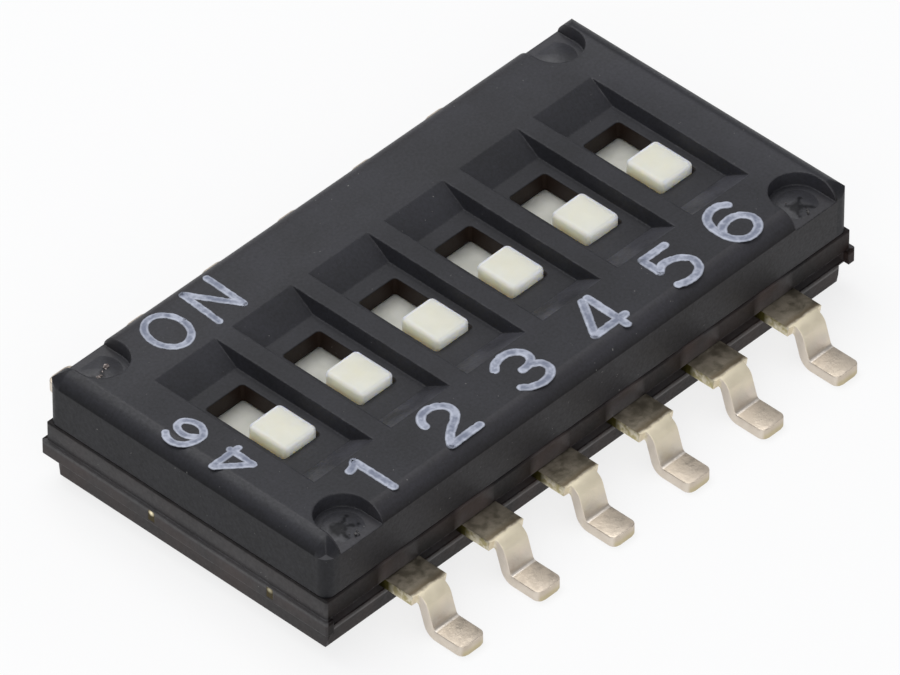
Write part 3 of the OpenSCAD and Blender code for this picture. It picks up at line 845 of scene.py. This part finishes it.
# %% Rows of terminals
row_tree, start = new_tree("row_at_pitch", {"Count": "Int", "Pitch": "Float", "First": "Float",
                                            "Play": "Float", "Seed": "Int", "Finish": "Material"})
places = add(row_tree, "GeometryNodeMeshLine", {
    "Count": start["Count"], "Start Location": ("vector", start["First"]),
    "Offset": ("vector", start["Pitch"])}, mode="OFFSET", count_mode="TOTAL")
back = add(row_tree, "times", start["Play"], -1.0)
shift = add(row_tree, "FunctionNodeRandomValue", {
    0: ("vector", back, back), 1: ("vector", start["Play"], start["Play"]), "Seed": start["Seed"]},
    data_type="FLOAT_VECTOR")
row = add(row_tree, "GeometryNodeSetPosition", {"Geometry": places, "Offset": shift})
row = add(row_tree, "GeometryNodeInstanceOnPoints", {"Points": row, "Instance": start["Geometry"]})
row = add(row_tree, "GeometryNodeRealizeInstances", {"Geometry": row})
row = add(row_tree, "GeometryNodeSetMaterial", {"Geometry": row, "Material": start["Finish"]})
add(row_tree, "NodeGroupOutput", row)

tip_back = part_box("terminal_back_1")[0].y / MM
tip_front = -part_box("terminal_front_1")[1].y / MM
rows = []
for name, tip, foot, side, seed in (("back_row", tip_back, 0.35, 1, 3),
                                    ("front_row", tip_front, 0.415, -1, 8)):
    obj = to_object(terminal_mesh(tip, foot, side), name, plating)
    rows.append(bake(obj, row_tree, {"Count": positions, "Pitch": pitch, "First": switch_x[0],
                                     "Play": 0.004 * MM, "Seed": seed, "Finish": plating}))
terminals = to_object(joined(rows), "formed_terminals", plating)
smooth_by_angle(terminals, 35)
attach(terminals, "housing")
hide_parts(*[f"terminal_{row}_{i}" for row in ("front", "back")
                         for i in range(1, positions + 1)])
print("two rows of", positions, "terminals,", len(terminals.data.polygons), "faces")

# %% [markdown]
# ## Sprung contacts and tie bars
# Under each slider a contact of gold-plated spring bronze bridges the terminals;
# only a glimpse of it is ever seen through a window. The tie bars are what is
# left where the terminals were cut from their strip after moulding: the shears
# smear the plating to a dark brown, with a torn core in the upper half that gets a
# painted glint, bright on the back bars and dim on the front ones.

# %% Contact and tie bar finishes
def gold_plating(tree):
    """Thin bright gold over spring bronze, with rolling marks along Y."""
    place = add(tree, "ShaderNodeTexCoord").node.outputs
    drawn = add(tree, "ShaderNodeVectorMath", place["Object"], (8.0, 1.0, 8.0), operation="MULTIPLY")
    marks = add(tree, "noise", drawn, grain_scale(0.3), 3.0)
    return add(tree, "ShaderNodeBsdfPrincipled", {
        "Base Color": ("tint", marks, "#c79a4b", "#f0cf86"), "Metallic": 1.0,
        "Roughness": ("ramp", marks, 0.0, 1.0, 0.22, 0.38), "Normal": ("bump", marks, 0.3, 0.001 * MM)})


def sheared_bar(tree, core, glint):
    """Brown smeared shear face with a torn core, painted with a glint, round the given point, in metres."""
    place = add(tree, "ShaderNodeTexCoord").node.outputs
    ragged = add(tree, "noise", place["Object"], grain_scale(0.04), 3.0)
    away = add(tree, "ShaderNodeVectorMath", place["Object"], core, operation="DISTANCE", out="Value")
    torn = add(tree, *below(("times plus", ragged, 0.03 * MM, away), 0.046, 0.018))
    return add(tree, "ShaderNodeBsdfPrincipled", {
        "Base Color": ("tint", torn, "#4d452f", glint), "Metallic": 1.0,
        "Roughness": ("ramp", torn, 0.0, 1.0, 0.6, 0.35), "Normal": ("bump", ragged, 0.8, 0.008 * MM)})


gold = new_material("gold_plated_spring_bronze", gold_plating)
for i in range(1, positions + 1):
    finish_node(f"contact_{i}", gold)
bars = [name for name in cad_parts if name.startswith("tie_bar_")]
for name in bars:
    low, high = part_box(name)
    core = high.x if high.x > 0 else low.x, (low.y + high.y) / 2, high.z - 0.03 * MM
    # Painted glint on the torn core, bright on the back bars and dim on the front ones
    glint = "#fff3cf" if low.y > 0 else "#b0a88c"
    finish_node(name, new_material("sheared_" + name, sheared_bar, core, glint))
print(positions, "contacts in", gold.name, "and", len(bars), "sheared tie bars")

# %% [markdown]
# ## Crushed stakes
# The base has four posts that come up through the cover. A hot star-shaped punch
# crushes their ends to hold the cover down. The imported solid has the round heads;
# what the punch leaves on them, a smeared skin with a ragged star pressed into
# it, is a thin mesh laid over each head. A star is a few arms that run out from
# the place where the punch bit, each with its own reach, and no two are alike.
# The depth of the star is stored on the mesh as an attribute, and the finish paints shade into the star by
# it.

# %% Stars of the punch
STAKE_X, STAKE_Y = 3.83, 1.93  # middles of the four heads, in mm
HEAD_H = 0.03  # how high a head stands over the floor of its recess
SKIN_R, SKIN_OUT = 0.33, 0.255  # reach of the skin, and how far it may go outwards along Y
head_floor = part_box("base")[1].z / MM - HEAD_H
# corner: (where the punch bit, how wide, ends of the arms), in mm from the middle of the head
STARS = {
    (-1, -1): ((-0.08, 0.0), 0.12, [(0.16, 0.09), (0.15, -0.11), (-0.10, -0.20)]),
    (1, -1): ((-0.065, -0.04), 0.085, [(0.115, -0.19), (0.09, 0.03), (-0.14, -0.16), (-0.12, 0.07)]),
    (-1, 1): ((-0.12, -0.10), 0.03, [(0.06, -0.01), (-0.17, -0.03), (-0.11, -0.20)]),
    (1, 1): ((0.0, 0.0), 0.0, []),
}


def star_depth(x, y, bite, width, arms):
    """How far a star is pressed in at a point, from 0 to 1: a round bite and tapering arms."""
    ragged = 0.03 * noise.noise(Vector((x * 22, y * 22, width * 50)))
    depth = 0.0
    if width:
        depth = 2.4 - 2.2 * (math.hypot(x - bite[0], y - bite[1]) - ragged) / width
    for end in arms:
        along = Vector(end) - Vector(bite)
        rel = Vector((x, y)) - Vector(bite)
        t = min(max(rel.dot(along) / along.length_squared, 0.0), 1.0)
        depth = max(depth, 1.2 - ((rel - along * t).length + ragged) / (0.055 * (1 - 0.55 * t)))
    return min(max(depth, 0.0), 1.0)


print("heads' floor at", round(head_floor, 3), "mm,", sum(len(star[2]) for star in STARS.values()), "arms")

# %% Crushed stake heads
def crushed_skin(rings=26, spokes=60):
    """One mesh with a thin skin over each head, and the star's depth at each of its points. The
    skin swells in the middle, sinks under the star, and is level with the head at its rim."""
    bm = bmesh.new()
    bruise = bm.verts.layers.float.new("bruise")
    for (sx, sy), (bite, width, arms) in STARS.items():
        grid = []
        for i in range(rings + 1):
            grid.append([])
            for k in range(spokes if i else 1):
                a = 2 * math.pi * k / spokes
                reach = min(SKIN_R, SKIN_OUT / max(sy * math.sin(a), 0.01))
                r = reach * i / rings
                x = r * math.cos(a)
                y = r * math.sin(a)
                wave = noise.noise(Vector((x * 9 + sx * 7, y * 9 + sy * 5, 1.5)))
                fine = noise.noise(Vector((x * 30 + sx, y * 30 + sy, 4.0)))
                deep = star_depth(x, y, bite, width, arms)
                swell = 0.042 * (0.5 + 0.5 * math.cos(math.pi * i / rings)) - 0.004 * i / rings
                lift = (0.0015 * wave + 0.001 * fine - 0.003 * deep) * (1 - i / rings)
                vert = bm.verts.new((sx * STAKE_X + x, sy * STAKE_Y + y, head_floor + swell + lift))
                # The finish paints shade into the star by this depth
                vert[bruise] = deep
                grid[-1].append(vert)
        for k in range(spokes):
            bm.faces.new((grid[0][0], grid[1][k], grid[1][(k + 1) % spokes]))
        for low, high in zip(grid[1:], grid[2:]):
            for k in range(spokes):
                n = (k + 1) % spokes
                bm.faces.new((low[k], high[k], high[n], low[n]))
    bmesh.ops.scale(bm, vec=(MM, MM, MM), verts=bm.verts)
    return bm


def stake_tone(tree, place):
    """Painted shade where the star is pressed in, and painted light growing towards the ON side."""
    deep = add(tree, "ShaderNodeAttribute", attribute_name="bruise", out="Fac")
    span = add(tree, "ShaderNodeSeparateXYZ", place["Object"], out="Y"), -1 * MM, 1 * MM
    return add(tree, "blend", deep, ("ramp", *span, 1.4, 1.6), ("ramp", *span, 0.5, 0.8)), 0.0, 0.0


stake_plastic = new_material("crushed_lcp_stakes", moulded_plastic, *COVER_PLASTIC, stake_tone)
skin = to_object(crushed_skin(), "crushed_stakes", stake_plastic)
smooth_by_angle(skin, 60)
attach(skin, "housing")
print("crushed skins of", len(skin.data.polygons), "faces")

# %% [markdown]
# The punch also tears loose a few crumbs of plastic that stick to the heads and
# catch the light. They are balls bent out of shape by a noise, each turned its
# own way by Geometry Nodes; where they lie and their sizes come with the points.

# %% Places of the crumbs
CRUMBS = [  # corner, place from the middle of the head, radius, in mm
    (-1, 1, 0.067, -0.014, 0.05), (-1, 1, 0.03, -0.035, 0.024), (-1, 1, -0.03, -0.05, 0.02),
    (-1, 1, -0.141, -0.098, 0.042), (-1, 1, -0.09, -0.075, 0.024), (-1, 1, -0.11, -0.19, 0.012),
    (-1, -1, 0.0, -0.2, 0.02), (-1, -1, 0.05, -0.17, 0.012), (-1, -1, 0.03, -0.22, 0.014),
    (-1, -1, -0.05, -0.15, 0.011),
    (1, -1, -0.03, -0.2, 0.019), (1, -1, -0.1, 0.09, 0.014), (1, -1, 0.0, -0.16, 0.011),
]
print(len(CRUMBS), "crumbs, up to", max(crumb[-1] for crumb in CRUMBS), "mm in radius")

# %% Crumbs on their points
crumb_tree, start = new_tree("crumbs_on_points", {"Ragged": "Float", "Seed": "Int", "Finish": "Material"})
ball = add(crumb_tree, "GeometryNodeMeshIcoSphere", {"Radius": 1.0, "Subdivisions": 3})
size = add(crumb_tree, "GeometryNodeInputNamedAttribute", {"Name": "radius"}, data_type="FLOAT")
turn = add(crumb_tree, "FunctionNodeRandomValue", {
    0: (0.0, 0.0, 0.0), 1: (6.28, 6.28, 6.28), "Seed": start["Seed"]}, data_type="FLOAT_VECTOR")
laid = add(crumb_tree, "GeometryNodeInstanceOnPoints", {
    "Points": start["Geometry"], "Instance": ball, "Rotation": turn,
    "Scale": ("scaled", (1.3, 0.8, 0.6), size)})
laid = add(crumb_tree, "GeometryNodeRealizeInstances", {"Geometry": laid})
bend = add(crumb_tree, "ShaderNodeTexNoise", {"Scale": grain_scale(0.02), "Detail": 2.0}, out="Color")
bend = "scaled", ("less", bend, (0.5, 0.5, 0.5)), start["Ragged"]
laid = add(crumb_tree, "GeometryNodeSetPosition", {"Geometry": laid, "Offset": bend})
laid = add(crumb_tree, "GeometryNodeSetMaterial", {"Geometry": laid, "Material": start["Finish"]})
add(crumb_tree, "NodeGroupOutput", laid)
print("crumb tree of", len(crumb_tree.nodes), "nodes")

# %% Torn plastic
def torn_plastic(tree):
    """Torn plastic stretches pale and shines a little, pinkish where it is thin."""
    place = add(tree, "ShaderNodeTexCoord").node.outputs
    cloud = add(tree, "noise", place["Object"], grain_scale(0.03), 2.0)
    front = add(tree, "ramp", add(tree, "ShaderNodeSeparateXYZ", place["Object"], out="Y"), 1 * MM, -1 * MM)
    colour = add(tree, "tint", ("ramp", cloud, 0.4, 0.6), "#6b5f5b", "#c9beb8")
    return add(tree, "ShaderNodeBsdfPrincipled", {
        "Base Color": ("tint", front, colour, "#565453"), "Roughness": 0.45, "IOR": 1.5,
        "Normal": ("bump", cloud, 0.6, 0.004 * MM)})


bm = bmesh.new()
radius = bm.verts.layers.float.new("radius")
for sx, sy, x, y, r in CRUMBS:
    place = sx * STAKE_X + x, sy * STAKE_Y + y, head_floor + HEAD_H * 0.8
    vert = bm.verts.new([c * MM for c in place])
    vert[radius] = r * MM
torn = new_material("torn_lcp_crumbs", torn_plastic)
crumbs = to_object(bm, "torn_crumbs", torn)
bake(crumbs, crumb_tree, {"Ragged": 0.02 * MM, "Seed": 5, "Finish": torn})
smooth_by_angle(crumbs, 40)
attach(crumbs, "housing")
print("crumbs of", len(crumbs.data.polygons), "faces")
